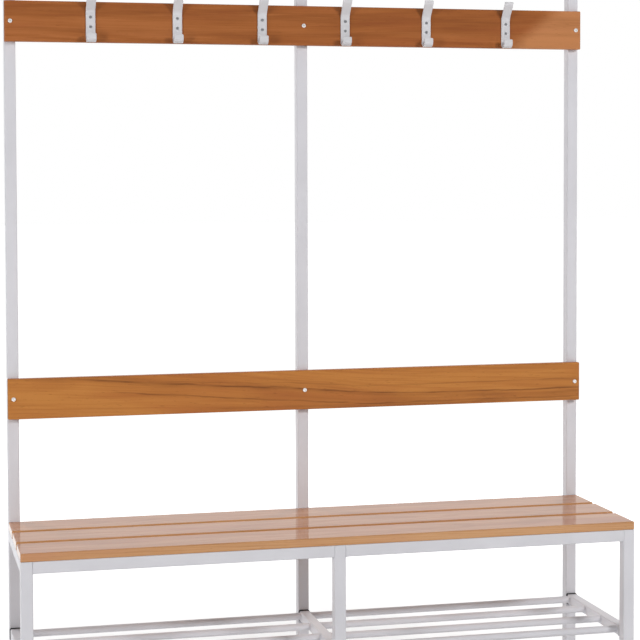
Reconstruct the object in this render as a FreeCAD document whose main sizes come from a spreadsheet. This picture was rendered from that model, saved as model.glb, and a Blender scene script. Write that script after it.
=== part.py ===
import FreeCAD, Part
import Sketcher
import math
import os

# Changing room bench: a one-sided seat with a backrest, a row of double coat hooks and a shoe rack.
#
# Three tall uprights and three short front legs of square steel tube carry everything. The front legs,
# front rails and seat bearers are one welded frame, bolted to the uprights, which rear rails hold apart.
# Wooden slats make the seat, and two boards across the uprights make the backrest and the hook board.
# X runs along the bench, Y from front to back and Z up. The origin is on the floor, under the middle of
# the bench. All sizes are in millimetres and angles in degrees.

Vector = FreeCAD.Vector
Rotation = FreeCAD.Rotation

# Driving dimensions
SIZES = {
    # Whole bench
    "overall_width": 1500,
    "overall_height": 1800,
    "frame_depth": 410,          # front face of the legs to rear face of the uprights
    "seat_height": 450,          # floor to the top of the slats
    # Square frame tube
    "tube_size": 28,
    "tube_wall": 1.5,
    "tube_corner": 2.5,
    # Seat slats
    "slat_thick": 20,
    "slat_gap": 17.5,
    "slat_edge": 2.5,
    "seat_screw_spacing": 40,    # between the two screws of a slat on one bearer
    "seat_screw_radius": 2.25,
    "seat_screw_bite": 13,       # length of thread in the wood
    "seat_screw_head_radius": 4.5,
    "seat_screw_head": 3,
    "seat_screw_socket": 2.2,    # from the middle to a corner of the hexagon, as in all sockets here
    "seat_screw_socket_depth": 1.6,
    # Backrest and hook board
    "board_height": 100,
    "board_thick": 20,
    "board_edge": 2.5,
    "backrest_rise": 257,        # top of the seat to the lower edge of the backrest
    "hook_board_drop": 65,       # top of the bench to the upper edge of the hook board
    "board_bolt_radius": 3,
    "board_bolt_head_radius": 5.25,
    "board_bolt_head": 3.2,
    "board_bolt_edge": 1.8,
    "board_bolt_socket": 2.3,
    "board_bolt_socket_depth": 2,
    "rivet_nut_radius": 4.4,
    "rivet_nut_depth": 13,
    "rivet_nut_flange_radius": 6,
    "rivet_nut_flange": 0.8,
    # Coat hooks, bent from flat strip
    "hook_pitch": 216,
    "hook_width": 23.5,
    "hook_strip": 4,
    "hook_edge": 1.4,
    "hook_curl_radius": 11,      # lower prong, to the middle of the strip
    "hook_curl_tip": 9,
    "hook_curl_corner": 3,
    "hook_bend_height": 70,      # bottom of the hook to where the upper prong leaves the board
    "hook_bend_radius": 20,
    "hook_lean": 38,             # upper prong from upright
    "hook_arm": 30,
    "hook_tip_lean": 16,
    "hook_tip": 5,
    "hook_tip_corner": 2,
    "hook_screw_spacing": 24,
    "hook_screw_radius": 2,
    "hook_screw_head_radius": 3.8,
    "hook_screw_head": 2.2,
    "hook_screw_socket": 1.7,
    "hook_screw_socket_depth": 1.3,
    "hook_screw_bite": 13,
    # Shoe rack
    "rack_height": 171,          # floor to the middle of the cross tubes
    "rack_cross_size": 25,
    "rack_cross_wall": 1.5,
    "rack_cross_corner": 2.5,
    "rack_bar_radius": 9,
    "rack_bar_wall": 1.2,
    "rack_bar_drop": 1.5,        # top of the cross tubes to the top of the bars
    "rack_end_gap": 2,           # plug flange to the nearest bar
    "weld_gap": 0.2,
    "plug_lip": 1.5,             # plug flange beyond the outside of the tube
    "plug_flange": 8,
    "plug_spigot": 18,
    "rack_pin_radius": 4,
    "rack_pin_length": 14,
    "rack_pin_nose": 1,
    # Bolts from the uprights into the seat bearers
    "frame_bolt_radius": 4,
    "frame_bolt_head_radius": 7,
    "frame_bolt_head": 4,
    "frame_bolt_edge": 2.5,
    "frame_bolt_socket": 2.9,
    "frame_bolt_socket_depth": 2.6,
    "bearer_insert_length": 18,
    # Levelling feet, their tube inserts and the caps on the uprights
    "foot_pad_radius": 13.5,
    "foot_pad": 6,
    "foot_edge": 1.5,
    "foot_collar_radius": 8,
    "foot_collar": 5,
    "foot_stud_radius": 4,
    "foot_stud": 28,
    "insert_flange": 3,
    "insert_depth": 30,
    "cap_flange": 4,
    "cap_edge": 1.5,
    "cap_depth": 16,
    # Clearances
    "fit_gap": 0.1,              # fixed pieces, each side
    "thread_gap": 0.05,          # levelling studs, each side
    "hole_gap": 0.3,             # bolts and screws in drilled holes, each side
    "pilot_extra": 1,            # drilled past the end of a wood screw
}
RACK_BARS = 4
HOOKS = 6
SLATS = ("front", "middle", "rear")
PARALLEL = 0.999                 # least cosine between an edge and the direction it is said to follow

# Named places, as expressions of the driving dimensions
FRONT = "(-(sizes.frame_depth + sizes.frame_bolt_head) / 2)"
REAR = f"({FRONT} + sizes.frame_depth)"
LEG_BACK = f"({FRONT} + sizes.tube_size)"
LEG_AXIS = f"({FRONT} + sizes.tube_size / 2)"
UPRIGHT_FRONT = f"({REAR} - sizes.tube_size)"
UPRIGHT_AXIS = f"({REAR} - sizes.tube_size / 2)"
BOARD_FRONT = f"({UPRIGHT_FRONT} - sizes.board_thick)"
INNER_DEPTH = "(sizes.frame_depth - 2 * sizes.tube_size)"
SEAT_UNDER = "(sizes.seat_height - sizes.slat_thick)"
BEARER_AXIS = f"({SEAT_UNDER} - sizes.tube_size / 2)"
TUBE_END = "(sizes.foot_pad + sizes.foot_collar + sizes.insert_flange)"
END_X = "((sizes.overall_width - sizes.tube_size) / 2)"
BAY = f"({END_X} - sizes.tube_size)"
SLAT_WIDTH = f"((sizes.frame_depth - sizes.tube_size - {len(SLATS) - 1} * sizes.slat_gap) / {len(SLATS)})"
BACKREST_BOTTOM = "(sizes.seat_height + sizes.backrest_rise)"
HOOK_BOARD_BOTTOM = "(sizes.overall_height - sizes.hook_board_drop - sizes.board_height)"
FRAME_X = {"left": f"(-{END_X})", "middle": "0", "right": END_X}

ALONG_X = Rotation(Vector(0, 1, 0), 90)
ALONG_Y = Rotation(Vector(1, 0, 0), -90)
AGAINST_Y = Rotation(Vector(1, 0, 0), 90)
ALONG_Z = Rotation()
AGAINST_Z = Rotation(Vector(1, 0, 0), 180)
FACING_FRONT = Rotation(Vector(0, 0, 1), 180)

doc = FreeCAD.newDocument("changing_room_bench")
sheet = doc.addObject("Spreadsheet::Sheet", "sizes")
for row, (alias, value) in enumerate(SIZES.items(), start=1):
    sheet.set(f"A{row}", alias)
    sheet.set(f"B{row}", str(value))
    sheet.setAlias(f"B{row}", alias)
doc.recompute()

nodes = []


def size(alias):
    """The value of one cell of the sheet."""
    return float(sheet.get(alias))


def place(obj, x="0", y="0", z="0", turn=ALONG_Z):
    """Turn an object and bind its position to the sheet."""
    obj.Placement = FreeCAD.Placement(Vector(), turn)
    for axis, text in zip("xyz", (x, y, z)):
        obj.setExpression(f"Placement.Base.{axis}", str(text))


def new_body(label):
    body = doc.addObject("PartDesign::Body", label)
    body.Label = label
    return body


def node(obj):
    """List an object as a sub-part to be written under its label."""
    nodes.append(obj)
    return obj


def feature(body, kind, name, at=("0", "0", "0"), turn=ALONG_Z, **expressions):
    """Add one solid feature to a body, with its sizes and position bound to the sheet."""
    item = body.newObject(f"PartDesign::{kind}", f"{body.Label}_{name}")
    for prop, text in expressions.items():
        item.setExpression(prop, str(text))
    place(item, *at, turn=turn)
    return item


def edges_where(shape, test):
    """Names of the edges of a shape that pass a test."""
    return [f"Edge{i}" for i, edge in enumerate(shape.Edges, start=1) if test(edge)]


def round_edges(body, name, test, radius):
    """Fillet the edges of a body's last feature that pass a test."""
    doc.recompute()
    base = body.Tip
    fillet = body.newObject("PartDesign::Fillet", f"{body.Label}_{name}")
    fillet.Base = (base, edges_where(base.Shape, test))
    fillet.setExpression("Radius", radius)
    return fillet


def along(axis):
    """A test for straight edges that run along an axis."""
    def test(edge):
        if not isinstance(edge.Curve, Part.Line):
            return False
        return abs(edge.tangentAt(edge.FirstParameter).dot(axis)) > PARALLEL
    return test


def bore(stock):
    """The inside width of a square tube."""
    return f"(sizes.{stock}_size - 2 * sizes.{stock}_wall)"


def bore_fit(stock):
    """The width of a plug that is pressed into a square tube."""
    return f"({bore(stock)} - 2 * sizes.fit_gap)"


def square_block(body, kind, name, wide, high, z="0"):
    """A square block or bore about the body's Z axis."""
    corner = (f"-{wide} / 2", f"-{wide} / 2", z)
    return feature(body, kind, name, corner, Length=wide, Width=wide, Height=high)


def square_tube(label, length, stock="tube"):
    """A square tube with rounded corners about its own Z axis, of the frame's stock or the rack's."""
    body = new_body(label)
    square_block(body, "AdditiveBox", "outside", f"sizes.{stock}_size", length)
    round_edges(body, "corners", along(Vector(0, 0, 1)), f"sizes.{stock}_corner")
    square_block(body, "SubtractiveBox", "bore", bore(stock), length)
    return body


def socket(body, screw, z, turn):
    """A hexagon socket in the face of a screw head."""
    feature(body, "SubtractivePrism", "socket", ("0", "0", z), turn,
            Circumradius=f"sizes.{screw}_socket", Height=f"sizes.{screw}_socket_depth")


def spread(label, pattern, places, turn=ALONG_Z):
    """One node that holds a copy of a pattern piece at each place."""
    copies = []
    for number, (x, y, z) in enumerate(places, start=1):
        copy = doc.addObject("App::Link", f"{label}_{number}")
        copy.LinkedObject = pattern
        place(copy, x, y, z, turn)
        copies.append(copy)
    group = doc.addObject("Part::Compound", label)
    group.Label = label
    group.Links = copies
    return node(group)


def slat_front(name):
    """Y of the front edge of a slat."""
    return f"({FRONT} + {SLATS.index(name)} * ({SLAT_WIDTH} + sizes.slat_gap))"


def seat_screw_rows(name):
    """Y of a slat's two rows of screws, about the middle of what the bearers carry of it."""
    carried_from = LEG_BACK if name == SLATS[0] else slat_front(name)
    middle = f"({carried_from} + {slat_front(name)} + {SLAT_WIDTH}) / 2"
    return [f"({middle} + {side} * sizes.seat_screw_spacing / 2)" for side in (-1, 1)]


def hook_x(number):
    """X of the middle of a coat hook, counted from the left."""
    return f"({number - (HOOKS + 1) / 2} * sizes.hook_pitch)"


def hook_screw_heights():
    """Z of the two screws of a hook, above the lower edge of the hook board."""
    return [f"(sizes.board_height / 2 + {side} * sizes.hook_screw_spacing / 2)" for side in (-1, 1)]


def uprights():
    """Rear uprights, from the floor to above the hook board, drilled for bolts and rivet nuts."""
    for side, x in FRAME_X.items():
        body = square_tube(f"upright_{side}", f"(sizes.overall_height - sizes.cap_flange - {TUBE_END})")
        feature(body, "SubtractiveCylinder", "bolt_hole",
                ("0", "-sizes.tube_size", f"{BEARER_AXIS} - {TUBE_END}"), ALONG_Y,
                Radius="sizes.frame_bolt_radius + sizes.hole_gap", Height="2 * sizes.tube_size")
        for board, bottom in (("backrest", BACKREST_BOTTOM), ("hook_board", HOOK_BOARD_BOTTOM)):
            feature(body, "SubtractiveCylinder", f"{board}_hole",
                    ("0", "-sizes.tube_size", f"{bottom} + sizes.board_height / 2 - {TUBE_END}"), ALONG_Y,
                    Radius="sizes.rivet_nut_radius + sizes.fit_gap", Height="sizes.tube_size")
        place(body, x, UPRIGHT_AXIS, TUBE_END)
        node(body)


def seat_frame():
    """Front legs, rails and the bearers that carry the slats."""
    for side, x in FRAME_X.items():
        leg = square_tube(f"front_leg_{side}", f"({SEAT_UNDER} - {TUBE_END})")
        place(leg, x, LEG_AXIS, TUBE_END)
        node(leg)
    for side, x in FRAME_X.items():
        bearer = square_tube(f"seat_bearer_{side}", INNER_DEPTH)
        for name in SLATS:
            for number, y in enumerate(seat_screw_rows(name), start=1):
                feature(bearer, "SubtractiveCylinder", f"{name}_slat_hole_{number}",
                        ("0", "-sizes.tube_size", f"{y} - {LEG_BACK}"), ALONG_Y,
                        Radius="sizes.seat_screw_radius + sizes.hole_gap", Height="2 * sizes.tube_size")
        place(bearer, x, LEG_BACK, BEARER_AXIS, ALONG_Y)
        node(bearer)
    for row, y in (("front", LEG_AXIS), ("rear", UPRIGHT_AXIS)):
        for side, x in (("left", f"(sizes.tube_size / 2 - {END_X})"), ("right", "(sizes.tube_size / 2)")):
            rail = square_tube(f"{row}_rail_{side}", BAY)
            place(rail, x, y, BEARER_AXIS, ALONG_X)
            node(rail)


def frame_fasteners():
    """Bolts through the uprights and the threaded blocks in the rear ends of the bearers."""
    bolt = new_body("frame_bolt_pattern")
    feature(bolt, "AdditiveCylinder", "head",
            Radius="sizes.frame_bolt_head_radius", Height="sizes.frame_bolt_head")
    round_edges(bolt, "crown", lambda edge: edge.CenterOfMass.z > size("frame_bolt_head") - size("fit_gap")
                and edge.Closed, "sizes.frame_bolt_edge")
    feature(bolt, "AdditiveCylinder", "shank", turn=AGAINST_Z, Radius="sizes.frame_bolt_radius",
            Height="sizes.tube_size + sizes.bearer_insert_length")
    socket(bolt, "frame_bolt", "sizes.frame_bolt_head", AGAINST_Z)
    spread("frame_bolts", bolt, [(x, REAR, BEARER_AXIS) for x in FRAME_X.values()], ALONG_Y)

    insert = new_body("bearer_insert_pattern")
    square_block(insert, "AdditiveBox", "block", bore_fit("tube"), "sizes.bearer_insert_length")
    feature(insert, "SubtractiveCylinder", "thread",
            Radius="sizes.frame_bolt_radius + sizes.fit_gap", Height="sizes.bearer_insert_length")
    spread("bearer_inserts", insert, [(x, UPRIGHT_FRONT, BEARER_AXIS) for x in FRAME_X.values()], AGAINST_Y)


def seat():
    """Three slats, each screwed from below to the three bearers."""
    for name in SLATS:
        slat = new_body(f"seat_slat_{name}")
        feature(slat, "AdditiveBox", "plank", ("-sizes.overall_width / 2", "0", "0"),
                Length="sizes.overall_width", Width=SLAT_WIDTH, Height="sizes.slat_thick")
        round_edges(slat, "edges", lambda edge: True, "sizes.slat_edge")
        for side, x in FRAME_X.items():
            for number, y in enumerate(seat_screw_rows(name), start=1):
                feature(slat, "SubtractiveCylinder", f"pilot_{side}_{number}",
                        (x, f"{y} - {slat_front(name)}", "0"),
                        Radius="sizes.seat_screw_radius + sizes.fit_gap",
                        Height="sizes.seat_screw_bite + sizes.pilot_extra")
        place(slat, "0", slat_front(name), SEAT_UNDER)
        node(slat)

    screw = new_body("seat_screw_pattern")
    feature(screw, "AdditiveCylinder", "shank", Radius="sizes.seat_screw_radius",
            Height="sizes.tube_size + sizes.seat_screw_bite")
    feature(screw, "AdditiveCylinder", "head", turn=AGAINST_Z,
            Radius="sizes.seat_screw_head_radius", Height="sizes.seat_screw_head")
    socket(screw, "seat_screw", "-sizes.seat_screw_head", ALONG_Z)
    spread("seat_screws", screw, [(x, y, f"{SEAT_UNDER} - sizes.tube_size")
                                  for x in FRAME_X.values() for name in SLATS for y in seat_screw_rows(name)])


def board(label, bottom):
    """A board across the fronts of the uprights, drilled for its bolts and rivet nut flanges."""
    body = new_body(label)
    feature(body, "AdditiveBox", "plank", ("-sizes.overall_width / 2", "-sizes.board_thick", "0"),
            Length="sizes.overall_width", Width="sizes.board_thick", Height="sizes.board_height")
    round_edges(body, "edges", lambda edge: True, "sizes.board_edge")
    for side, x in FRAME_X.items():
        feature(body, "SubtractiveCylinder", f"bolt_hole_{side}",
                (x, "-sizes.board_thick", "sizes.board_height / 2"), ALONG_Y,
                Radius="sizes.board_bolt_radius + sizes.hole_gap", Height="sizes.board_thick")
        feature(body, "SubtractiveCylinder", f"nut_recess_{side}",
                (x, "0", "sizes.board_height / 2"), AGAINST_Y,
                Radius="sizes.rivet_nut_flange_radius + sizes.hole_gap",
                Height="sizes.rivet_nut_flange + sizes.fit_gap")
    place(body, "0", UPRIGHT_FRONT, bottom)
    return node(body)


def boards():
    """Backrest, hook board and what bolts them to the uprights."""
    board("backrest_board", BACKREST_BOTTOM)
    hook_board = board("hook_board", HOOK_BOARD_BOTTOM)
    for number in range(1, HOOKS + 1):
        for row, z in zip(("lower", "upper"), hook_screw_heights()):
            feature(hook_board, "SubtractiveCylinder", f"pilot_{number}_{row}",
                    (hook_x(number), "-sizes.board_thick", z), ALONG_Y,
                    Radius="sizes.hook_screw_radius + sizes.fit_gap",
                    Height="sizes.hook_screw_bite + sizes.pilot_extra")

    heights = [f"({bottom} + sizes.board_height / 2)" for bottom in (BACKREST_BOTTOM, HOOK_BOARD_BOTTOM)]
    bolt = new_body("board_bolt_pattern")
    feature(bolt, "AdditiveCylinder", "head",
            Radius="sizes.board_bolt_head_radius", Height="sizes.board_bolt_head")
    round_edges(bolt, "crown", lambda edge: edge.CenterOfMass.z > size("board_bolt_head") - size("fit_gap")
                and edge.Closed, "sizes.board_bolt_edge")
    feature(bolt, "AdditiveCylinder", "shank", turn=AGAINST_Z, Radius="sizes.board_bolt_radius",
            Height="sizes.board_thick + sizes.rivet_nut_depth")
    socket(bolt, "board_bolt", "sizes.board_bolt_head", AGAINST_Z)
    spread("board_bolts", bolt, [(x, BOARD_FRONT, z) for z in heights for x in FRAME_X.values()], AGAINST_Y)

    nut = new_body("rivet_nut_pattern")
    feature(nut, "AdditiveCylinder", "flange", turn=AGAINST_Z,
            Radius="sizes.rivet_nut_flange_radius", Height="sizes.rivet_nut_flange")
    feature(nut, "AdditiveCylinder", "sleeve",
            Radius="sizes.rivet_nut_radius", Height="sizes.rivet_nut_depth")
    feature(nut, "SubtractiveCylinder", "thread", ("0", "0", "-sizes.rivet_nut_flange"),
            Radius="sizes.board_bolt_radius + sizes.fit_gap",
            Height="sizes.rivet_nut_depth + sizes.rivet_nut_flange")
    spread("rivet_nuts", nut, [(x, UPRIGHT_FRONT, z) for z in heights for x in FRAME_X.values()], ALONG_Y)


def sketch_on(body, role, name):
    """A sketch on one of a body's own origin planes."""
    sketch = body.newObject("Sketcher::SketchObject", f"{body.Label}_{name}")
    plane = next(item for item in body.Origin.OriginFeatures if item.Role == role)
    sketch.AttachmentSupport = (plane, [""])
    sketch.MapMode = "FlatFace"
    return sketch


def dimension(sketch, text, kind, *where):
    """Add a dimension to a sketch and bind it to the sheet."""
    index = sketch.addConstraint(Sketcher.Constraint(kind, *where))
    sketch.setExpression(f"Constraints[{index}]", text)


def hook_path(body):
    """The middle line of a hook's strip, from the tip of the lower prong to the tip of the upper one."""
    path = sketch_on(body, "YZ_Plane", "path")
    strip, curl, bend = size("hook_strip"), size("hook_curl_radius"), size("hook_bend_radius")
    lean, tip_lean = math.radians(size("hook_lean")), math.radians(size("hook_tip_lean"))
    arm, tip, curl_tip = size("hook_arm"), size("hook_tip"), size("hook_curl_tip")
    normal = Vector(0, 0, 1)
    back_low = Vector(strip / 2, curl + strip / 2, 0)
    front_low = back_low + Vector(2 * curl, 0, 0)
    curl_end = front_low + Vector(0, curl_tip, 0)
    back_top = Vector(strip / 2, size("hook_bend_height"), 0)
    arm_along = Vector(math.sin(lean), math.cos(lean), 0)
    arm_across = Vector(math.cos(lean), -math.sin(lean), 0)
    tip_along = Vector(math.sin(tip_lean), math.cos(tip_lean), 0)
    tip_across = Vector(math.cos(tip_lean), -math.sin(tip_lean), 0)
    out_centre = back_top + Vector(bend, 0, 0)
    arm_start = out_centre - arm_across * bend
    arm_end = arm_start + arm_along * arm
    up_centre = arm_end - arm_across * bend
    tip_start = up_centre + tip_across * bend
    tip_end = tip_start + tip_along * tip
    curl_circle = Part.Circle(back_low + Vector(curl, 0, 0), normal, curl)
    out_circle = Part.Circle(out_centre, normal, bend)
    up_circle = Part.Circle(up_centre, normal, bend)
    lower_prong = path.addGeometry(Part.LineSegment(curl_end, front_low))
    curl_arc = path.addGeometry(Part.ArcOfCircle(curl_circle, math.pi, 2 * math.pi))
    back = path.addGeometry(Part.LineSegment(back_low, back_top))
    out_arc = path.addGeometry(Part.ArcOfCircle(out_circle, math.pi - lean, math.pi))
    upper_prong = path.addGeometry(Part.LineSegment(arm_start, arm_end))
    up_arc = path.addGeometry(Part.ArcOfCircle(up_circle, -lean, -tip_lean))
    upper_tip = path.addGeometry(Part.LineSegment(tip_start, tip_end))
    start, end, centre, origin = 1, 2, 3, -1
    for joint in ((lower_prong, end, curl_arc, end), (curl_arc, start, back, start),
                  (back, end, out_arc, end), (out_arc, start, upper_prong, start),
                  (upper_prong, end, up_arc, start), (up_arc, end, upper_tip, start)):
        path.addConstraint(Sketcher.Constraint("Tangent", *joint))
    for line in (lower_prong, back):
        path.addConstraint(Sketcher.Constraint("Vertical", line))
    dimension(path, "sizes.hook_curl_radius", "Radius", curl_arc, curl)
    for arc in (out_arc, up_arc):
        dimension(path, "sizes.hook_bend_radius", "Radius", arc, bend)
    dimension(path, "sizes.hook_strip / 2", "DistanceX", origin, start, back, start, strip / 2)
    dimension(path, "sizes.hook_curl_radius + sizes.hook_strip / 2", "DistanceY", origin, start,
              curl_arc, centre, curl + strip / 2)
    dimension(path, "sizes.hook_bend_height", "DistanceY", origin, start, back, end, back_top.y)
    dimension(path, "sizes.hook_curl_tip", "Distance", lower_prong, curl_tip)
    dimension(path, "sizes.hook_arm", "Distance", upper_prong, arm)
    dimension(path, "sizes.hook_tip", "Distance", upper_tip, tip)
    dimension(path, "(90 - sizes.hook_lean) * 1 deg", "Angle", upper_prong, math.pi / 2 - lean)
    dimension(path, "(90 - sizes.hook_tip_lean) * 1 deg", "Angle", upper_tip, math.pi / 2 - tip_lean)
    return path


def hook_section(body):
    """The flat section of a hook's strip, at the tip of the lower prong."""
    section = sketch_on(body, "XY_Plane", "section")
    section.setExpression("AttachmentOffset.Base.y", "sizes.hook_strip / 2 + 2 * sizes.hook_curl_radius")
    section.setExpression("AttachmentOffset.Base.z",
                          "sizes.hook_curl_radius + sizes.hook_strip / 2 + sizes.hook_curl_tip")
    x, y = size("hook_width") / 2, size("hook_strip") / 2
    corners = [Vector(-x, -y, 0), Vector(x, -y, 0), Vector(x, y, 0), Vector(-x, y, 0)]
    sides = [section.addGeometry(Part.LineSegment(corners[i], corners[(i + 1) % 4])) for i in range(4)]
    for i, side in enumerate(sides):
        section.addConstraint(Sketcher.Constraint("Coincident", side, 2, sides[(i + 1) % 4], 1))
        section.addConstraint(Sketcher.Constraint("Vertical" if i % 2 else "Horizontal", side))
    section.addConstraint(Sketcher.Constraint("Symmetric", sides[0], 1, sides[2], 1, -1, 1))
    dimension(section, "sizes.hook_width", "Distance", sides[0], 2 * x)
    dimension(section, "sizes.hook_strip", "Distance", sides[1], 2 * y)
    return section


def coat_hook(number):
    """A double coat hook: a strip bent into a long upper prong and a curled lower one."""
    hook = new_body(f"coat_hook_{number}")
    path, section = hook_path(hook), hook_section(hook)
    doc.recompute()
    strip = hook.newObject("PartDesign::AdditivePipe", f"{hook.Label}_strip")
    strip.Profile = section
    strip.Spine = (path, [f"Edge{i}" for i in range(1, len(path.Shape.Edges) + 1)])
    doc.recompute()
    lower_tip = section.Shape.BoundBox.ZMax
    upper_tip = path.Shape.BoundBox.ZMax

    def corner_at(height):
        return lambda edge: (abs(edge.Length - size("hook_strip")) < size("fit_gap")
                             and abs(edge.CenterOfMass.z - height) < size("fit_gap"))

    def back_edge(edge):
        long = edge.Length > size("hook_bend_height") / 2
        return long and edge.CenterOfMass.x > 0 and isinstance(edge.Curve, Part.Line)

    round_edges(hook, "lower_corners", corner_at(lower_tip), "sizes.hook_curl_corner")
    round_edges(hook, "upper_corners", corner_at(upper_tip), "sizes.hook_tip_corner")
    round_edges(hook, "edges", back_edge, "sizes.hook_edge")
    for row, z in zip(("lower", "upper"), hook_screw_heights()):
        feature(hook, "SubtractiveCylinder", f"{row}_hole", ("0", "0", z), ALONG_Y,
                Radius="sizes.hook_screw_radius + sizes.hole_gap", Height="sizes.hook_strip")
        feature(hook, "SubtractiveCone", f"{row}_sink",
                ("0", "sizes.hook_strip - sizes.hook_screw_head", z), ALONG_Y,
                Radius1="sizes.hook_screw_radius + sizes.fit_gap",
                Radius2="sizes.hook_screw_head_radius + sizes.fit_gap", Height="sizes.hook_screw_head")
    place(hook, hook_x(number), BOARD_FRONT, HOOK_BOARD_BOTTOM, FACING_FRONT)
    node(hook)


def hooks():
    """The row of hooks and their countersunk screws."""
    for number in range(1, HOOKS + 1):
        coat_hook(number)
    screw = new_body("hook_screw_pattern")
    feature(screw, "AdditiveCone", "head", ("0", "0", "-sizes.hook_screw_head"),
            Radius1="sizes.hook_screw_radius", Radius2="sizes.hook_screw_head_radius",
            Height="sizes.hook_screw_head")
    feature(screw, "AdditiveCylinder", "shank", ("0", "0", "-sizes.hook_screw_head"), AGAINST_Z,
            Radius="sizes.hook_screw_radius",
            Height="sizes.hook_strip - sizes.hook_screw_head + sizes.hook_screw_bite")
    socket(screw, "hook_screw", "0", AGAINST_Z)
    face = f"{BOARD_FRONT} - sizes.hook_strip"
    spread("hook_screws", screw, [(hook_x(number), face, f"{HOOK_BOARD_BOTTOM} + {z}")
                                  for number in range(1, HOOKS + 1) for z in hook_screw_heights()], AGAINST_Y)


def round_tube(label, length, radius, wall):
    """A round tube about its own Z axis."""
    body = new_body(label)
    feature(body, "AdditiveCylinder", "outside", Radius=radius, Height=length)
    feature(body, "SubtractiveCylinder", "bore", Radius=f"{radius} - {wall}", Height=length)
    return body


def shoe_rack():
    """Round bars welded between square cross tubes, whose plugged ends sit on pins of the frame."""
    for side, x in FRAME_X.items():
        tube = square_tube(f"rack_cross_tube_{side}", f"({INNER_DEPTH} - 2 * sizes.plug_flange)",
                           "rack_cross")
        place(tube, x, f"{LEG_BACK} + sizes.plug_flange", "sizes.rack_height", ALONG_Y)
        node(tube)

    reach = "(sizes.rack_cross_size / 2 + sizes.weld_gap)"
    first = "(sizes.plug_flange + sizes.rack_end_gap + sizes.rack_bar_radius)"
    step = f"(({INNER_DEPTH} - 2 * {first}) / {RACK_BARS - 1})"
    lift = "(sizes.rack_cross_size / 2 - sizes.rack_bar_drop - sizes.rack_bar_radius)"
    for side, x in (("left", f"(-{END_X})"), ("right", "0")):
        for number in range(1, RACK_BARS + 1):
            bar = round_tube(f"rack_bar_{side}_{number}", f"({END_X} - 2 * {reach})",
                             "sizes.rack_bar_radius", "sizes.rack_bar_wall")
            place(bar, f"{x} + {reach}", f"{LEG_BACK} + {first} + {number - 1} * {step}",
                  f"sizes.rack_height + {lift}", ALONG_X)
            node(bar)

    plug = new_body("rack_end_plug_pattern")
    square_block(plug, "AdditiveBox", "flange", "(sizes.rack_cross_size + 2 * sizes.plug_lip)",
                 "sizes.plug_flange")
    round_edges(plug, "corners", along(Vector(0, 0, 1)), "sizes.rack_cross_corner + sizes.plug_lip")
    square_block(plug, "AdditiveBox", "spigot", bore_fit("rack_cross"), "sizes.plug_spigot",
                 "sizes.plug_flange")
    feature(plug, "SubtractiveCylinder", "pin_hole", Radius="sizes.rack_pin_radius + sizes.fit_gap",
            Height="sizes.rack_pin_length + sizes.pilot_extra")
    pin = new_body("rack_pin_pattern")
    feature(pin, "AdditiveCylinder", "rod", Radius="sizes.rack_pin_radius", Height="sizes.rack_pin_length")
    round_edges(pin, "nose", lambda edge: edge.CenterOfMass.z > size("rack_pin_length") / 2 and edge.Closed,
                "sizes.rack_pin_nose")
    for label, pattern in (("rack_end_plugs", plug), ("rack_pins", pin)):
        front = [(x, LEG_BACK, "sizes.rack_height") for x in FRAME_X.values()]
        rear = [(x, UPRIGHT_FRONT, "sizes.rack_height") for x in FRAME_X.values()]
        spread(f"{label}_front", pattern, front, ALONG_Y)
        spread(f"{label}_rear", pattern, rear, AGAINST_Y)


def feet_and_caps():
    """Levelling feet in threaded inserts under each tube, and caps on top of the uprights."""
    stands = {f"{row}_{side}": (x, y) for row, y in (("front", LEG_AXIS), ("rear", UPRIGHT_AXIS))
              for side, x in FRAME_X.items()}
    for name, (x, y) in stands.items():
        foot = new_body(f"foot_{name}")
        feature(foot, "AdditiveCylinder", "pad", Radius="sizes.foot_pad_radius", Height="sizes.foot_pad")
        round_edges(foot, "pad_edges", lambda edge: edge.Closed, "sizes.foot_edge")
        feature(foot, "AdditivePrism", "collar", ("0", "0", "sizes.foot_pad"),
                Circumradius="sizes.foot_collar_radius", Height="sizes.foot_collar")
        feature(foot, "AdditiveCylinder", "stud", ("0", "0", "sizes.foot_pad + sizes.foot_collar"),
                Radius="sizes.foot_stud_radius", Height="sizes.foot_stud")
        place(foot, x, y, "0")
        node(foot)

    insert = new_body("foot_insert_pattern")
    square_block(insert, "AdditiveBox", "flange", "sizes.tube_size", "sizes.insert_flange")
    round_edges(insert, "corners", along(Vector(0, 0, 1)), "sizes.tube_corner")
    square_block(insert, "AdditiveBox", "plug", bore_fit("tube"), "sizes.insert_depth", "sizes.insert_flange")
    feature(insert, "SubtractiveCylinder", "thread", Radius="sizes.foot_stud_radius + sizes.thread_gap",
            Height="sizes.insert_flange + sizes.insert_depth")
    spread("foot_inserts", insert, [(x, y, "sizes.foot_pad + sizes.foot_collar") for x, y in stands.values()])

    for side, x in FRAME_X.items():
        cap = new_body(f"upright_cap_{side}")
        square_block(cap, "AdditiveBox", "top", "sizes.tube_size", "sizes.cap_flange")
        round_edges(cap, "corners", along(Vector(0, 0, 1)), "sizes.tube_corner")
        round_edges(cap, "top_edges", lambda edge: edge.BoundBox.ZMin > size("cap_flange") / 2,
                    "sizes.cap_edge")
        square_block(cap, "AdditiveBox", "plug", bore_fit("tube"), "sizes.cap_depth", "-sizes.cap_depth")
        place(cap, x, UPRIGHT_AXIS, "sizes.overall_height - sizes.cap_flange")
        node(cap)


def write_parts():
    """Check the whole document, then write each sub-part to its own file."""
    doc.recompute()
    failed = [obj.Name for obj in doc.Objects if {"Invalid", "Error"} & set(obj.State)]
    failed += [obj.Label for obj in nodes if obj.Shape.isNull() or not obj.Shape.isValid()]
    if failed:
        raise RuntimeError(f"these objects failed: {failed}")
    os.makedirs("parts", exist_ok=True)
    for obj in nodes:
        obj.Shape.exportStep(os.path.join("parts", f"{obj.Label}.step"))
        print(f"{obj.Label}: {len(obj.Shape.Solids)} solid(s), {obj.Shape.Volume / 1000:.2f} cm3")


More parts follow.
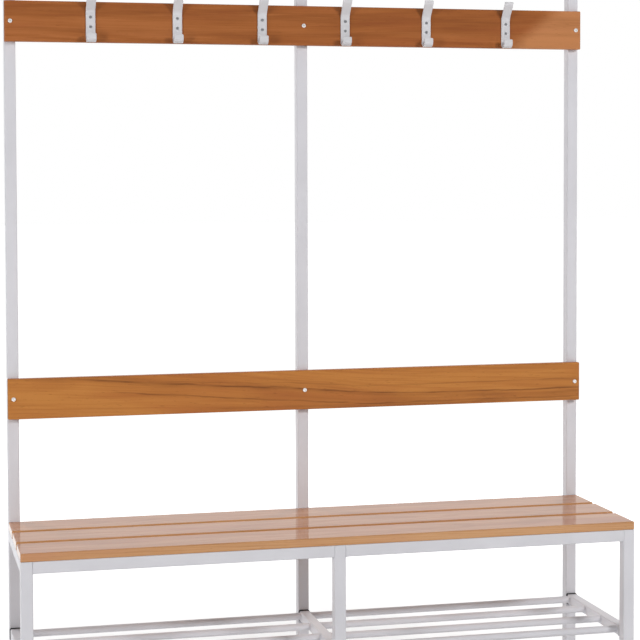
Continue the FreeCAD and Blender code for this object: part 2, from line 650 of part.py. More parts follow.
uprights()
seat_frame()
frame_fasteners()
seat()
boards()
hooks()
shoe_rack()
feet_and_caps()
write_parts()
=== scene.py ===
import math

import bmesh
import bpy
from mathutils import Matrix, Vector


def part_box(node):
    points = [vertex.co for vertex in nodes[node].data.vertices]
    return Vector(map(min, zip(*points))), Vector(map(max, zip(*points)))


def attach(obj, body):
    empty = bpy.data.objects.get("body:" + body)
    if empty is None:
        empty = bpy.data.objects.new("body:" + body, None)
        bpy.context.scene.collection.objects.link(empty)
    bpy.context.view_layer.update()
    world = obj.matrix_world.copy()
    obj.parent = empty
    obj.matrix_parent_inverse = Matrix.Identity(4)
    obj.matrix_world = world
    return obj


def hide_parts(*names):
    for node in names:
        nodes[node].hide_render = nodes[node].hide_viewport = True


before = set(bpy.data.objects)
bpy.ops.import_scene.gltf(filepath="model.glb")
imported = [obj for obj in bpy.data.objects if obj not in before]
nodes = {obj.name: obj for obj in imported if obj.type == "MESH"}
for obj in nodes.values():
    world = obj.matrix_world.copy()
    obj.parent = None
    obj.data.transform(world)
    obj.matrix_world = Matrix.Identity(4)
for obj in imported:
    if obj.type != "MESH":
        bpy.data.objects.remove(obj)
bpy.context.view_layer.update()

# Sizes are in millimetres where a name doesn't say otherwise, and the scene is in metres
MM = 0.001

# Camera, matched to the photograph: where it stands, how it is turned, and its lens on a 36 mm sensor
CAMERA_PLACE_M = (-1.0499, -4.2876, 1.3182)
CAMERA_TURN_DEG = (87.616, 0.150, -13.803)
CAMERA_LENS = 100.8
CAMERA_SENSOR = 36
CAMERA_SHIFT_DOWN = -0.1172

# A tall softbox stands at the front left, a higher one at the front right, and two light the back.
# Each has its place, aim, width and height in metres, and its power in watts.
SOFTBOXES = {
    "front_left_softbox": ((-4.2, -2.7, 1.6), (0, 0, 0.9), 0.85, 2.1, 98),
    "front_right_softbox": ((2.9, -4.0, 3.1), (0, 0, 0.9), 1.1, 1.0, 136),
    "back_left_softbox": ((-2.4, 3.0, 2.2), (0, 0, 0.9), 1.0, 1.0, 50),
    "back_right_softbox": ((2.4, 3.0, 2.2), (0, 0, 0.9), 1.0, 1.0, 50),
}
SKY_LIGHT = 0.22                 # how bright the surroundings are for what they light
SKY_FRONT_GLOSS = 0.4            # how bright the dim side, behind the camera, is in reflections
SKY_DIM_Y, SKY_BRIGHT_Y = -0.5, 0.1    # the directions between which that dim side brightens
FLOOR_SIZE_M = 80
FLOOR_PAINT = "#E6E6E6"
FLOOR_DROP = 12                  # how far the levelling feet screw out, so that the floor never hides them
FLOOR_GLOW_NEAR = 0.44           # added to the floor as seen, so that it is white and keeps the shadow
FLOOR_GLOW_FAR = 0.86
FLOOR_GLOW_FROM_M, FLOOR_GLOW_TO_M = 1.0, 3.5


def linear(hex_colour):
    """An sRGB hex colour as linear RGBA."""
    channels = [int(hex_colour[i:i + 2], 16) / 255 for i in (1, 3, 5)]
    return [c / 12.92 if c <= 0.04045 else ((c + 0.055) / 1.055) ** 2.4 for c in channels] + [1.0]


def add(tree, kind, settings=None, out=0, **inputs):
    """Add a shader node and return one of its outputs. Settings are its properties, and stops are a colour
    ramp's places and colours. Inputs are sockets or values, named with _ for a space, or _ and a number."""
    item = tree.nodes.new(f"ShaderNode{kind}")
    for name, value in (settings or {}).items():
        if name == "stops":
            points = item.color_ramp.elements
            while len(points) < len(value):
                points.new(1.0)
            for point, (position, colour) in zip(points, value):
                point.position = position
                point.color = linear(colour)
        else:
            setattr(item, name, value)
    for name, value in inputs.items():
        target = item.inputs[int(name[1:]) if name[0] == "_" else name.replace("_", " ")]
        if isinstance(value, bpy.types.NodeSocket):
            tree.links.new(value, target)
        else:
            target.default_value = value
    return item.outputs[out] if item.outputs else None


def start_material(name):
    """An empty material, its node tree and its object coordinates."""
    material = bpy.data.materials.new(name)
    material.use_nodes = True
    material.node_tree.nodes.clear()
    return material, material.node_tree, add(material.node_tree, "TexCoord", out="Object")


def cells(*lengths):
    """Pattern scale along X, Y and Z for cells of these lengths."""
    return [1 / (length * MM) for length in lengths]


# Beech: how long its patterns are along X, Y and Z, and how far they push the grain up and down
WANDER_CELLS, WANDER = (430, 90, 90), 10
RING_WIDTH = 5
FIBRE_CELLS = (160, 2.6, 2.6)    # coarser than real fibre, so that it shows
BROAD_CELLS = (480, 45, 24)
WARM_CELLS = (300, 60, 60)
FLECK_CELLS = (18, 3, 2.4)
WAVER_CELLS, WAVER = (70, 40, 40), 3
BREAK_CELLS = (90, 12, 5)
TIP_FADE = 60                    # length over which a streak's tip fades in
PAINTED_LIGHT_FROM_X, PAINTED_LIGHT_TO_X = 600, 672    # where the painted light's edge starts and ends, at the height below
PAINTED_LIGHT_Z, PAINTED_LIGHT_LEAN = 1700, 1.3        # that height, and how far the edge moves to the right per height
PAINTED_LIGHT_SHARE = 0.75
TONE_STOPS = (0.32, 0.43, 0.58)
PAINTED_TOP_HUE = 0.49              # 0.5 leaves the colour as it is, and less is redder
FACE_FROM, FACE_TO = 0.6, 0.95   # how squarely a face has to look along an axis to count


def lacquered_beech(name, tones, red, dark, heart, lean_deg, drift, streaks, ring_depth, coat, gloss,
                    pale=None):
    """Steamed beech, planed and clear lacquered. It gives long low-contrast grain in arches, short dark
    flecks, a few dark streaks along the board, a painted redder tint on faces that look up, darker end
    grain, and reflections that come from the lacquer alone. The heart is a point in the middle of the log,
    lean_deg its turn about Y and Z, and drift the places along the board where the grain starts and stops
    falling, and by how much. A pale tone, where given, is painted over the board's right end, past an edge
    that leans, as painted light."""
    material, tree, place = start_material(name)
    x, y, z = [add(tree, "SeparateXYZ", out=axis, Vector=place) for axis in "XYZ"]

    # The grain wanders, and drifts down the board between two places along it
    wander = add(tree, "TexNoise", Vector=add(tree, "Mapping", Vector=place, Scale=cells(*WANDER_CELLS)),
                 Scale=1.0, Detail=2.0)
    wander = add(tree, "MapRange", Value=wander, To_Min=-WANDER * MM, To_Max=WANDER * MM)
    height = add(tree, "Math", {"operation": "ADD"}, _0=z, _1=wander)
    from_x, to_x, drop = drift
    fall = add(tree, "MapRange", {"interpolation_type": "SMOOTHSTEP"}, Value=x, From_Min=from_x * MM,
               From_Max=to_x * MM, To_Min=0.0, To_Max=drop * MM)
    level = add(tree, "Math", {"operation": "ADD"}, _0=height, _1=fall)
    grain = add(tree, "CombineXYZ", X=x, Y=y, Z=level)

    # Growth rings lie round the heart of the log, which leans along the board, so that they show as arches.
    # At a scale of 1 the wave's rings are 2 pi / 20 apart.
    log = add(tree, "Mapping", {"vector_type": "TEXTURE"}, Vector=grain,
              Location=[length * MM for length in heart],
              Rotation=[0, math.radians(lean_deg[0]), math.radians(lean_deg[1])])
    rings = add(tree, "TexWave", {"wave_type": "RINGS", "rings_direction": "X"}, out="Fac", Vector=log,
                Scale=2 * math.pi / (20 * RING_WIDTH * MM))
    rings = add(tree, "MapRange", {"interpolation_type": "SMOOTHSTEP"}, Value=rings,
                From_Min=0.45, From_Max=1.0, To_Min=0.0, To_Max=ring_depth)

    # Fine fibre and broad bands shade the wood between its tones, and a warm tone comes and goes
    fibre = add(tree, "TexNoise", Vector=add(tree, "Mapping", Vector=grain, Scale=cells(*FIBRE_CELLS)),
                Scale=1.0, Detail=3.0, Roughness=0.55)
    broad = add(tree, "TexNoise", Vector=add(tree, "Mapping", Vector=grain, Scale=cells(*BROAD_CELLS)),
                Scale=1.0, Detail=2.0)
    tone = add(tree, "Math", {"operation": "MULTIPLY_ADD"}, _0=fibre, _1=0.3, _2=rings)
    tone = add(tree, "Math", {"operation": "MULTIPLY_ADD"}, _0=broad, _1=0.5, _2=tone)
    colour = add(tree, "ValToRGB", {"stops": list(zip(TONE_STOPS, tones))}, Fac=tone)
    warm = add(tree, "TexNoise", Vector=add(tree, "Mapping", Vector=grain, Scale=cells(*WARM_CELLS)),
               Scale=1.0)
    warm = add(tree, "MapRange", Value=warm, From_Min=0.5, From_Max=0.75, To_Min=0.0, To_Max=0.7)
    colour = add(tree, "Mix", {"data_type": "RGBA"}, out=2, _0=warm, _6=colour, _7=linear(red))

    # Painted light: a paler tone is laid over the right end of a board that has one, past an edge that leans
    if pale:
        slant = add(tree, "Math", {"operation": "MULTIPLY_ADD"}, _0=height, _1=-PAINTED_LIGHT_LEAN, _2=x)
        painted_light_patch = add(tree, "MapRange", {"interpolation_type": "SMOOTHSTEP"}, Value=slant,
                      From_Min=(PAINTED_LIGHT_FROM_X - PAINTED_LIGHT_LEAN * PAINTED_LIGHT_Z) * MM,
                      From_Max=(PAINTED_LIGHT_TO_X - PAINTED_LIGHT_LEAN * PAINTED_LIGHT_Z) * MM,
                      To_Min=0.0, To_Max=PAINTED_LIGHT_SHARE)
        colour = add(tree, "Mix", {"data_type": "RGBA"}, out=2, _0=painted_light_patch, _6=colour, _7=linear(pale))

    # Flecks are the cut ends of the wood's rays
    fleck = add(tree, "TexNoise", Vector=add(tree, "Mapping", Vector=grain, Scale=cells(*FLECK_CELLS)),
                Scale=1.0, Detail=1.0)
    fleck = add(tree, "MapRange", Value=fleck, From_Min=0.66, From_Max=0.78, To_Min=0.0, To_Max=0.35)
    colour = add(tree, "Mix", {"data_type": "RGBA"}, out=2, _0=fleck, _6=colour, _7=linear(dark))

    # A streak starts at a tip, wavers from one height to another, and breaks up along the way
    waver = add(tree, "TexNoise", Vector=add(tree, "Mapping", Vector=place, Scale=cells(*WAVER_CELLS)),
                Scale=1.0)
    waver = add(tree, "MapRange", Value=waver, To_Min=-WAVER * MM, To_Max=WAVER * MM)
    height = add(tree, "Math", {"operation": "ADD"}, _0=height, _1=waver)
    breaks = add(tree, "TexNoise", Vector=add(tree, "Mapping", Vector=place, Scale=cells(*BREAK_CELLS)),
                 Scale=1.0, Detail=2.0)
    breaks = add(tree, "MapRange", Value=breaks, From_Min=0.35, From_Max=0.6, To_Min=0.3, To_Max=1.0)
    for tip_x, from_x, to_x, from_z, to_z, half_width, depth in streaks:
        line = add(tree, "MapRange", {"interpolation_type": "SMOOTHSTEP"}, Value=x, From_Min=from_x * MM,
                   From_Max=to_x * MM, To_Min=from_z * MM, To_Max=to_z * MM)
        away = add(tree, "Math", {"operation": "SUBTRACT"}, _0=height, _1=line)
        away = add(tree, "Math", {"operation": "ABSOLUTE"}, _0=away)
        band = add(tree, "MapRange", {"interpolation_type": "SMOOTHSTEP"}, Value=away,
                   From_Min=0.0, From_Max=half_width * MM, To_Min=depth, To_Max=0.0)
        band = add(tree, "Math", {"operation": "MULTIPLY"}, _0=band, _1=breaks)
        fade = add(tree, "MapRange", Value=x, From_Min=tip_x * MM, From_Max=(tip_x + TIP_FADE) * MM)
        band = add(tree, "Math", {"operation": "MULTIPLY"}, _0=band, _1=fade)
        colour = add(tree, "Mix", {"data_type": "RGBA"}, out=2, _0=band, _6=colour, _7=linear(dark))

    # Faces that look up get a painted tint: their hue is shifted redder, for how the light falls on the
    # lacquered tops
    normal = add(tree, "NewGeometry", out="Normal")
    painted_top_face = add(tree, "MapRange", Value=add(tree, "SeparateXYZ", out="Z", Vector=normal),
                    From_Min=FACE_FROM, From_Max=FACE_TO)
    colour = add(tree, "HueSaturation", Hue=PAINTED_TOP_HUE, Fac=painted_top_face, Color=colour)

    # End grain drinks the lacquer and stays darker
    facing = add(tree, "Math", {"operation": "ABSOLUTE"}, _0=add(tree, "SeparateXYZ", Vector=normal))
    end = add(tree, "MapRange", Value=facing, From_Min=FACE_FROM, From_Max=FACE_TO, To_Min=0.0, To_Max=0.5)
    colour = add(tree, "Mix", {"data_type": "RGBA"}, out=2, _0=end, _6=colour, _7=linear(dark))

    shader = add(tree, "BsdfPrincipled", Base_Color=colour, Specular_IOR_Level=0.0,
                 Roughness=add(tree, "MapRange", Value=fibre, To_Min=0.5, To_Max=0.65),
                 Normal=add(tree, "Bump", Strength=0.12, Distance=0.12 * MM, Height=fibre),
                 Coat_Weight=coat, Coat_Roughness=gloss, Coat_IOR=1.5)
    add(tree, "OutputMaterial", Surface=shader)
    return material


# Coat, zinc and plastic: how wide their patterns are. Peel, crystals and pits are drawn coarser than real.
PATCH_WIDTH, PEEL_WIDTH = 110, 1.6
CRYSTAL_WIDTH = 3
CLOUD_WIDTH, PIT_WIDTH = 18, 0.8


def powder_coat(name, tones):
    """Polyester powder baked on steel. It gives an even satin grey with the fine orange peel of the melted
    powder, which is drawn coarse enough to show."""
    material, tree, place = start_material(name)
    patch = add(tree, "TexNoise", Vector=place, Scale=1 / (PATCH_WIDTH * MM), Detail=3.0)
    peel = add(tree, "TexNoise", Vector=place, Scale=1 / (PEEL_WIDTH * MM), Detail=2.0)
    shader = add(tree, "BsdfPrincipled", IOR=1.5,
                 Base_Color=add(tree, "ValToRGB", {"stops": list(zip((0.35, 0.65), tones))}, Fac=patch),
                 Roughness=add(tree, "MapRange", Value=patch, To_Min=0.36, To_Max=0.46),
                 Normal=add(tree, "Bump", Strength=0.12, Distance=0.06 * MM, Height=peel))
    add(tree, "OutputMaterial", Surface=shader)
    return material


def zinc_plate(name, tones, rough, metallic=1.0):
    """Zinc plate on steel. It gives a silver shine, clouded where the crystals of the plating vary. Paler
    tones and less metallic give a painted highlight: a whiter, partly matt face that stands in for a lamp's
    glint."""
    material, tree, place = start_material(name)
    cloud = add(tree, "TexNoise", Vector=place, Scale=1 / (CRYSTAL_WIDTH * MM), Detail=3.0)
    shader = add(tree, "BsdfPrincipled", Metallic=metallic,
                 Base_Color=add(tree, "ValToRGB", {"stops": list(zip((0.3, 0.7), tones))}, Fac=cloud),
                 Roughness=add(tree, "MapRange", Value=cloud, To_Min=rough - 0.07, To_Max=rough + 0.07))
    add(tree, "OutputMaterial", Surface=shader)
    return material


def moulded_polyethylene(name, tones, rough):
    """Polyethylene from an eroded mould. It gives a matt face with fine pits, drawn coarse enough to show."""
    material, tree, place = start_material(name)
    cloud = add(tree, "TexNoise", Vector=place, Scale=1 / (CLOUD_WIDTH * MM), Detail=4.0)
    pits = add(tree, "TexNoise", Vector=place, Scale=1 / (PIT_WIDTH * MM), Detail=2.0)
    shader = add(tree, "BsdfPrincipled", IOR=1.5,
                 Base_Color=add(tree, "ValToRGB", {"stops": list(zip((0.4, 0.7), tones))}, Fac=cloud),
                 Roughness=add(tree, "MapRange", Value=cloud, To_Min=rough - 0.05, To_Max=rough + 0.05),
                 Normal=add(tree, "Bump", Strength=0.25, Distance=0.08 * MM, Height=pits))
    add(tree, "OutputMaterial", Surface=shader)
    return material


def give(material, *beginnings):
    """Give a material to the CAD nodes whose names start with any of these."""
    for name, node in nodes.items():
        if name.startswith(beginnings):
            for slot in node.material_slots:
                slot.material = material


frame_coat = powder_coat("light grey powder coat", ("#D4D3D8", "#D9D8DD"))
give(frame_coat, "upright_left", "upright_middle", "upright_right", "front_", "rear_", "seat_bearer",
     "rack_cross_tube", "rack_bar")
give(powder_coat("hook powder coat", ("#CFCED1", "#D6D5D8")), "coat_hook")
zinc = zinc_plate("bright zinc plate", ("#C9CACD", "#E3E4E6"), 0.3)
give(zinc, "seat_screws", "rivet_nuts", "frame_bolts", "bearer_inserts", "rack_pins")
# The board bolts' zinc is painted whiter and less metallic, a painted highlight for the lamps' glint on their
# heads.
give(zinc_plate("zinc plate with painted highlight", ("#EDEDED", "#F8F8F8"), 0.25, 0.4), "board_bolts")
# The hook screws' zinc is painted darker, a painted shade for the dark recesses in their heads.
give(zinc_plate("dull zinc plate with painted shade", ("#9C9DA1", "#B4B5B8"), 0.42), "hook_screws")
give(moulded_polyethylene("black plug polyethylene", ("#0E0E0E", "#171717"), 0.5), "rack_end_plugs_rear")
give(moulded_polyethylene("grey cap polyethylene", ("#BFBFC3", "#C8C8CB"), 0.5), "upright_cap",
     "foot_inserts", "rack_end_plugs_front")
foot_black = moulded_polyethylene("black foot polyethylene", ("#161616", "#202020"), 0.55)
give(foot_black, "foot_front", "foot_rear")

# The slats differ only in where the heart of the log lies
SEAT_TONES = ("#CB9867", "#C28C59", "#B07A49")
SLAT_HEARTS = {"front": (0, -150, 330), "middle": (250, -16, 320), "rear": (-300, 130, 340)}
for slat, slat_heart in SLAT_HEARTS.items():
    give(lacquered_beech(f"{slat} slat beech", SEAT_TONES, "#BE835B", "#8A5630", heart=slat_heart,
                         lean_deg=(0.9, 0.5), drift=(-700, 700, 12), streaks=(), ring_depth=0.06,
                         coat=0.85, gloss=0.05), f"seat_slat_{slat}")

# A streak has its tip's place along the board, the two places between which it drifts, its heights there,
# half its width, and how dark it is
BACKREST_STREAKS = ((-600, -800, 420, 806, 742, 3.4, 0.85), (-500, -800, 250, 783, 719, 3, 0.7),
                    (-450, -600, 500, 790, 732, 7, 0.25), (-300, -300, 600, 716, 712, 5, 0.3),
                    (-420, -700, 300, 800, 765, 2.5, 0.35))
give(lacquered_beech("backrest beech", ("#C1803E", "#B77537", "#A66730"), "#AC6431", "#6F3F17",
                     heart=(-200, 270, 790), lean_deg=(0.4, 1.0), drift=(-800, 420, 62),
                     streaks=BACKREST_STREAKS, ring_depth=0.06, coat=0.5, gloss=0.3), "backrest_board")
# The hook board's first streak is a broad band that makes the board darker towards its top.
HOOK_BOARD_STREAKS = ((-900, -700, 700, 1712, 1704, 24, 0.3), (-900, -500, 700, 1664, 1672, 10, 0.2))
# The hook board's right end gets painted light, a paler tone past a leaning edge.
give(lacquered_beech("hook board beech", ("#AC693A", "#9F5E30", "#8C4F28"), "#9C5630", "#74401E",
                     heart=(250, 280, 1670), lean_deg=(0.7, -0.8), drift=(-500, 700, -14),
                     streaks=HOOK_BOARD_STREAKS, ring_depth=0.05, coat=0.5, gloss=0.3, pale="#C78859"),
     "hook_board")

# Modelling: points nearer than this are one, edges sharper than this aren't smoothed, and a face whose
# normal has at least this much Z looks up or down
MERGE_DISTANCE = 0.001
SHARP_DEG = 40
LEVEL_Z = 0.9


def pick(kind, test):
    """In edit mode, select only the vertices, edges or faces that pass a test."""
    mesh = bpy.context.edit_object.data
    bpy.ops.mesh.select_mode(type=kind)
    bpy.ops.mesh.select_all(action="DESELECT")
    shape = bmesh.from_edit_mesh(mesh)
    for item in {"VERT": shape.verts, "EDGE": shape.edges, "FACE": shape.faces}[kind]:
        if test(item):
            item.select_set(True)
    shape.select_flush_mode()
    bmesh.update_edit_mesh(mesh)


def start_shape(primitive, **sizes):
    """Add a primitive at its size and place, with nothing else selected, and go into edit mode."""
    if bpy.context.mode != "OBJECT":
        bpy.ops.object.mode_set(mode="OBJECT")
    bpy.ops.object.select_all(action="DESELECT")
    primitive(**sizes)
    bpy.ops.object.transform_apply(location=True, rotation=True, scale=True)
    bpy.ops.object.mode_set(mode="EDIT")
    return bpy.context.object


def end_shape(shape, material):
    """Merge doubles, turn the faces outwards, leave edit mode and give the material."""
    bpy.ops.mesh.select_all(action="SELECT")
    bpy.ops.mesh.remove_doubles(threshold=MERGE_DISTANCE * MM)
    bpy.ops.mesh.normals_make_consistent(inside=False)
    bpy.ops.object.mode_set(mode="OBJECT")
    shape.data.materials.clear()
    shape.data.materials.append(material)


def join(name, shapes):
    """Join shapes into one piece with sharp edges kept sharp."""
    bpy.ops.object.select_all(action="DESELECT")
    for shape in shapes:
        shape.select_set(True)
    bpy.context.view_layer.objects.active = shapes[0]
    bpy.ops.object.join()
    bpy.ops.object.shade_smooth_by_angle(angle=math.radians(SHARP_DEG))
    piece = bpy.context.object
    piece.name = piece.data.name = name
    return piece


def copy_to(shape, place, turn_deg=(0, 0, 0)):
    """A copy of a shape with its own mesh, turned and moved, with both put into the mesh."""
    copy = shape.copy()
    copy.data = shape.data.copy()
    bpy.context.scene.collection.objects.link(copy)
    copy.rotation_euler = [math.radians(angle) for angle in turn_deg]
    copy.location = place
    bpy.ops.object.select_all(action="DESELECT")
    copy.select_set(True)
    bpy.context.view_layer.objects.active = copy
    bpy.ops.object.transform_apply(location=True, rotation=True, scale=True)
    return copy


# Levelling foot: a moulded pad with a hollow underside, a hexagon collar and an M8 stud
PAD_RADIUS, PAD_EDGE_HEIGHT, PAD_TOP, PAD_NECK_RADIUS = 13.4, 4, 6, 9.4
PAD_RIM, PAD_HOLLOW = 3, 1
PAD_SIDES, PAD_ROUNDING, PAD_ROUNDING_STEPS = 64, 0.45, 3
PAD_CORNER_RAD = 0.4             # edges that turn by more than this are rounded
COLLAR_RADIUS, COLLAR_TOP, COLLAR_ROUNDING, COLLAR_ROUNDING_STEPS = 7.9, 11, 0.5, 2
COLLAR_SINK, STUD_SINK = 1, 0.8  # how deep the collar stands in the pad, and the stud in the collar
STUD_RADIUS, STUD_ROOT_RADIUS, STUD_TOP, STUD_PITCH = 3.98, 3.35, 39, 1.25
THREAD_START = 1                 # below the collar's top, lower than the stud is cut off
THREAD_FLANK = 0.4               # of the pitch, from root to crest
THREAD_STEPS = 24                # round one turn
CUT_DISTANCE = 0.0001            # a point this near a cut counts as on it


def levelling_foot():
    """One levelling foot, standing at the origin."""
    pad = start_shape(bpy.ops.mesh.primitive_cylinder_add, vertices=PAD_SIDES, radius=PAD_RADIUS * MM,
                      depth=PAD_EDGE_HEIGHT * MM, location=(0, 0, PAD_EDGE_HEIGHT / 2 * MM))
    pick("FACE", lambda face: face.normal.z > LEVEL_Z)
    rise = (PAD_TOP - PAD_EDGE_HEIGHT) * MM
    bpy.ops.mesh.extrude_region_move(TRANSFORM_OT_translate={"value": (0, 0, rise)})
    narrow = PAD_NECK_RADIUS / PAD_RADIUS
    bpy.ops.transform.resize(value=(narrow, narrow, 1), center_override=(0, 0, PAD_TOP * MM))
    pick("FACE", lambda face: face.normal.z < -LEVEL_Z)
    bpy.ops.mesh.inset(thickness=PAD_RIM * MM)
    bpy.ops.mesh.extrude_region_move(TRANSFORM_OT_translate={"value": (0, 0, PAD_HOLLOW * MM)})
    pick("EDGE", lambda edge: edge.calc_face_angle(0) > PAD_CORNER_RAD
         and abs(edge.verts[0].co.z - edge.verts[1].co.z) < MERGE_DISTANCE * MM)
    bpy.ops.mesh.bevel(offset=PAD_ROUNDING * MM, segments=PAD_ROUNDING_STEPS, affect="EDGES")
    end_shape(pad, foot_black)

    low = PAD_TOP - COLLAR_SINK
    collar = start_shape(bpy.ops.mesh.primitive_cylinder_add, vertices=6, radius=COLLAR_RADIUS * MM,
                         depth=(COLLAR_TOP - low) * MM, location=(0, 0, (COLLAR_TOP + low) / 2 * MM))
    bpy.ops.mesh.select_all(action="SELECT")
    bpy.ops.mesh.bevel(offset=COLLAR_ROUNDING * MM, segments=COLLAR_ROUNDING_STEPS, affect="EDGES")
    end_shape(collar, zinc)

    # One turn of the thread's outline is drawn point by point, the screw modifier winds it up the stud, and
    # both ends are cut off flat
    stud = start_shape(bpy.ops.mesh.primitive_plane_add, size=MM)
    bpy.ops.mesh.select_mode(type="VERT")
    bpy.ops.mesh.select_all(action="SELECT")
    bpy.ops.mesh.merge(type="CENTER")
    bottom = COLLAR_TOP - THREAD_START - STUD_PITCH
    bpy.ops.transform.translate(value=(STUD_ROOT_RADIUS * MM, 0, bottom * MM))
    tooth = STUD_RADIUS - STUD_ROOT_RADIUS
    flank, land = THREAD_FLANK * STUD_PITCH, (0.5 - THREAD_FLANK) * STUD_PITCH
    for out_by, up_by in ((tooth, flank), (0, land), (-tooth, flank), (0, land)):
        bpy.ops.mesh.extrude_vertices_move(TRANSFORM_OT_translate={"value": (out_by * MM, 0, up_by * MM)})
    bpy.ops.object.mode_set(mode="OBJECT")
    screw = stud.modifiers.new("thread", "SCREW")
    screw.screw_offset = STUD_PITCH * MM
    screw.iterations = math.ceil((STUD_TOP - bottom) / STUD_PITCH) + 1
    screw.steps = screw.render_steps = THREAD_STEPS
    bpy.ops.object.modifier_apply(modifier=screw.name)
    bpy.ops.object.mode_set(mode="EDIT")
    bpy.ops.mesh.select_all(action="SELECT")
    bpy.ops.mesh.remove_doubles(threshold=MERGE_DISTANCE * MM)
    for end, facing in ((STUD_TOP, 1), (COLLAR_TOP - STUD_SINK, -1)):
        bpy.ops.mesh.select_all(action="SELECT")
        bpy.ops.mesh.bisect(plane_co=(0, 0, end * MM), plane_no=(0, 0, facing), use_fill=True,
                            clear_outer=True, threshold=CUT_DISTANCE * MM)
    end_shape(stud, zinc)
    return join("screw_foot", [pad, collar, stud])


foot_model = levelling_foot()
for row in ("front", "rear"):
    for side in ("left", "middle", "right"):
        low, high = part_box(f"foot_{row}_{side}")
        foot = copy_to(foot_model, ((low.x + high.x) / 2, (low.y + high.y) / 2, low.z))
        foot.name = foot.data.name = f"screw_foot_{row}_{side}"
        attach(foot, f"levelling_foot_{row}_{side}")
        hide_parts(f"foot_{row}_{side}")
bpy.data.objects.remove(foot_model)

# Weld beads under the coat: rings at the ends of the rack bars, and runs in the corners of the frame
RING_BEAD_RADIUS, RING_BEAD_STEPS, RING_BEAD_SIDES = 1.2, 96, 8
RUN_BEAD_RADIUS, RUN_BEAD_LENGTH, RUN_BEAD_STEPS, RUN_BEAD_SIDES = 1.6, 24, 42, 10
RUN_BEAD_TAPER = 0.6             # how thick its ends are, against its middle
RIPPLE_STEPS, RIPPLE_HEIGHT = 3, 0.25


def ring_bead(radius):
    """A rippled bead round the X axis at the origin."""
    bead = start_shape(bpy.ops.mesh.primitive_torus_add, major_radius=radius,
                       minor_radius=RING_BEAD_RADIUS * MM, major_segments=RING_BEAD_STEPS,
                       minor_segments=RING_BEAD_SIDES, rotation=(0, math.pi / 2, 0))
    pick("VERT", lambda vert: vert.index // RING_BEAD_SIDES % RIPPLE_STEPS == 0)
    bpy.ops.transform.shrink_fatten(value=RIPPLE_HEIGHT * MM)
    end_shape(bead, frame_coat)
    return bead


def run_bead():
    """A rippled bead along the Y axis, with its middle at the origin and tapered ends."""
    half = RUN_BEAD_LENGTH / 2 * MM
    bead = start_shape(bpy.ops.mesh.primitive_cylinder_add, vertices=RUN_BEAD_SIDES,
                       radius=RUN_BEAD_RADIUS * MM, depth=2 * half, rotation=(math.pi / 2, 0, 0))
    pick("EDGE", lambda edge: abs(edge.verts[0].co.y - edge.verts[1].co.y) > half)
    bpy.ops.mesh.subdivide(number_cuts=RUN_BEAD_STEPS - 1)
    step = 2 * half / RUN_BEAD_STEPS
    pick("VERT", lambda vert: round((vert.co.y + half) / step) % RIPPLE_STEPS == 1)
    bpy.ops.transform.shrink_fatten(value=RIPPLE_HEIGHT * MM)
    for end in (-half, half):
        pick("VERT", lambda vert: abs(vert.co.y - end) < step / 2)
        bpy.ops.transform.resize(value=(RUN_BEAD_TAPER, 1, RUN_BEAD_TAPER), center_override=(0, end, 0))
    end_shape(bead, frame_coat)
    return bead


bar_low, bar_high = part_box("rack_bar_left_1")
ring_model = ring_bead((bar_high.z - bar_low.z) / 2)
rings = []
for name in nodes:
    if name.startswith("rack_bar"):
        low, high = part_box(name)
        middle_y, middle_z = (low.y + high.y) / 2, (low.z + high.z) / 2
        rings += [copy_to(ring_model, (x, middle_y, middle_z)) for x in (low.x, high.x)]
run_model = run_bead()
runs = []
for side in ("left", "right"):
    for row in ("front", "rear"):
        low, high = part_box(f"{row}_rail_{side}")
        heights = (low.z, high.z) if row == "rear" else (low.z,)
        runs += [copy_to(run_model, (x, (low.y + high.y) / 2, z)) for x in (low.x, high.x) for z in heights]
    low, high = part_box(f"front_rail_{side}")
    runs += [copy_to(run_model, (x, high.y, (low.z + high.z) / 2), (90, 0, 0)) for x in (low.x, high.x)]
for side in ("left", "middle", "right"):
    low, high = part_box(f"seat_bearer_{side}")
    runs.append(copy_to(run_model, ((low.x + high.x) / 2, low.y, low.z), (0, 0, 90)))
bpy.data.objects.remove(ring_model)
bpy.data.objects.remove(run_model)
for name, beads in (("rack_bar_welds", rings), ("frame_welds", runs)):
    welds = join(name, beads)
    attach(welds, "bench_frame")


def seen_rays(tree):
    """One for the rays that see a thing directly, by reflection or through glass, and nought for light."""
    path = add(tree, "LightPath").node.outputs
    seen = add(tree, "Math", {"operation": "MAXIMUM"}, _0=path["Is Camera Ray"], _1=path["Is Glossy Ray"])
    return add(tree, "Math", {"operation": "MAXIMUM"}, _0=seen, _1=path["Is Transmission Ray"])


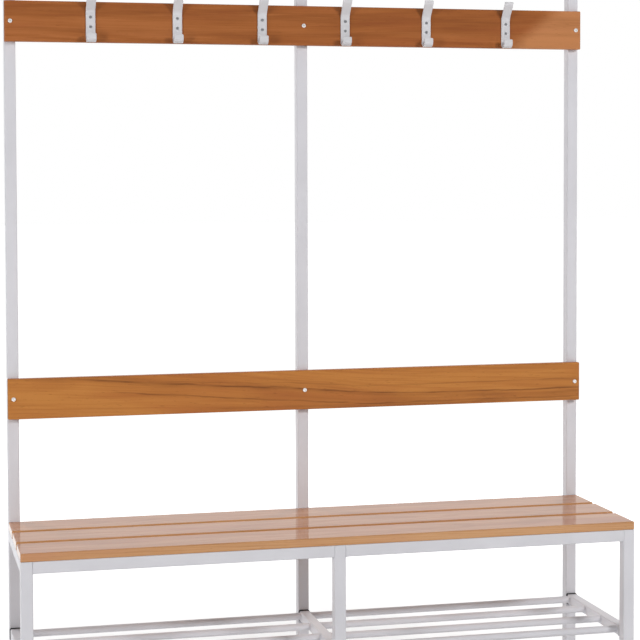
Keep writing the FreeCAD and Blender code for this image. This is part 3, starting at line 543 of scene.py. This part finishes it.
def studio():
    """A pale floor, white surroundings that are dimmer behind the camera in reflections, and softboxes."""
    bpy.ops.object.select_all(action="DESELECT")
    bpy.ops.mesh.primitive_plane_add(size=FLOOR_SIZE_M, location=(0, 0, -FLOOR_DROP * MM))
    floor = bpy.context.object
    floor.name = "studio_floor"
    # Painted board, rolled matt. It gives a pale even field that fades to the white of the surroundings.
    material, tree, place = start_material("matt pale floor paint")
    away = add(tree, "VectorMath", {"operation": "LENGTH"}, out="Value", _0=place)
    glow = add(tree, "MapRange", Value=away, From_Min=FLOOR_GLOW_FROM_M, From_Max=FLOOR_GLOW_TO_M,
               To_Min=FLOOR_GLOW_NEAR, To_Max=FLOOR_GLOW_FAR)
    glow = add(tree, "Math", {"operation": "MULTIPLY"}, _0=glow, _1=seen_rays(tree))
    add(tree, "OutputMaterial", Surface=add(tree, "AddShader",
                                            _0=add(tree, "BsdfDiffuse", Color=linear(FLOOR_PAINT)),
                                            _1=add(tree, "Emission", Strength=glow)))
    floor.data.materials.append(material)

    world = bpy.data.worlds.new("white studio")
    bpy.context.scene.world = world
    world.use_nodes = True
    tree = world.node_tree
    tree.nodes.clear()
    depth = add(tree, "SeparateXYZ", out="Y", Vector=add(tree, "TexCoord", out="Generated"))
    gloss = add(tree, "MapRange", Value=depth, From_Min=SKY_DIM_Y, From_Max=SKY_BRIGHT_Y,
                To_Min=SKY_FRONT_GLOSS, To_Max=1.0)
    direct = add(tree, "LightPath", out="Is Camera Ray")
    seen = add(tree, "Mix", _0=direct, _2=gloss, _3=1.0)
    strength = add(tree, "Mix", _0=seen_rays(tree), _2=SKY_LIGHT, _3=seen)
    add(tree, "OutputWorld", Surface=add(tree, "Background", Color=(1, 1, 1, 1), Strength=strength))

    for name, (place, aim, width, tall, power) in SOFTBOXES.items():
        bpy.ops.object.light_add(type="AREA", location=place)
        lamp = bpy.context.object
        lamp.name = name
        lamp.data.shape = "RECTANGLE"
        lamp.data.size = width
        lamp.data.size_y = tall
        lamp.data.energy = power
        lamp.rotation_euler = (Vector(aim) - Vector(place)).to_track_quat("-Z", "Y").to_euler()
        lamp.visible_camera = lamp.visible_glossy = False


def photo_camera():
    """The camera at the photograph's viewing angle."""
    bpy.ops.object.camera_add(location=CAMERA_PLACE_M,
                              rotation=[math.radians(angle) for angle in CAMERA_TURN_DEG])
    camera = bpy.context.object
    camera.name = "photo_camera"
    camera.data.sensor_width = CAMERA_SENSOR
    camera.data.lens = CAMERA_LENS
    camera.data.shift_y = CAMERA_SHIFT_DOWN
    bpy.context.scene.camera = camera


studio()
photo_camera()
bpy.context.scene.view_settings.view_transform = "Standard"
